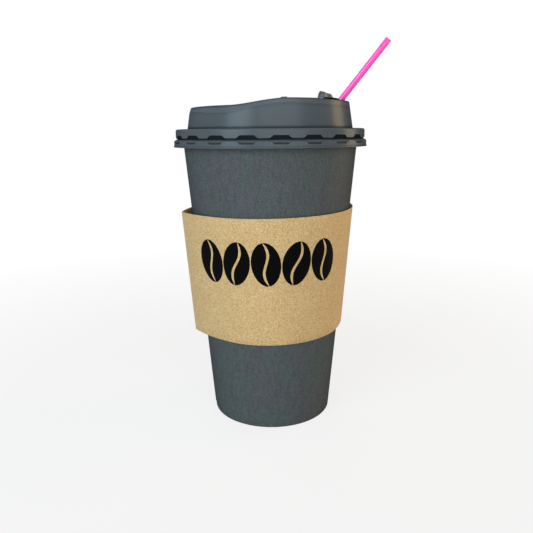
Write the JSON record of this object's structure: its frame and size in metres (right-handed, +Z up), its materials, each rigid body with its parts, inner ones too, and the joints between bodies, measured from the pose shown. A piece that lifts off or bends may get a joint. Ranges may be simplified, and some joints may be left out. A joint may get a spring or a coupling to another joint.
{
  "type": "paper coffee cup with lid and sleeve",
  "caption": "Tall tapered paper cup with a press-fit travel lid whose plug tab stands open, a corrugated card sleeve round its middle, and a thin stir straw leaning out of the sip hole.",
  "frame": {"origin": "centre of the foot ring, in the plane that the cup stands on", "axes": "+Z up the cup's axis, +X towards the sip hole, +Y along the tab's hinge"},
  "size_m": [0.1049, 0.0944, 0.1833],
  "materials": {
    "cup_paper": "matte",
    "bottom_paper": "matte",
    "kraft_card": "matte",
    "lid_plastic": "satin",
    "tab_plastic": "satin",
    "straw_plastic": "gloss"
  },
  "bodies": {
    "cup": {"cup_wall": "cup_paper", "cup_bottom": "bottom_paper"},
    "sleeve": {"sleeve": "kraft_card"},
    "lid": {"lid": "lid_plastic", "straw": "straw_plastic"},
    "tab": {"lid_tab": "tab_plastic"}
  },
  "joints": [
    {"name": "lid_lift", "type": "slide", "parent": "cup", "child": "lid", "axis": [0, 0, 1], "range_m": [0, 0.08]},
    {"name": "tab_hinge", "type": "hinge", "parent": "lid", "child": "tab", "pos_m": [0.02598, 0, 0.1523], "axis": [0, 1, 0], "range_deg": [-86, 12]},
    {"name": "sleeve_slide", "type": "slide", "parent": "cup", "child": "sleeve", "axis": [0, 0, 1], "range_m": [-0.04, 0]}
  ]
}
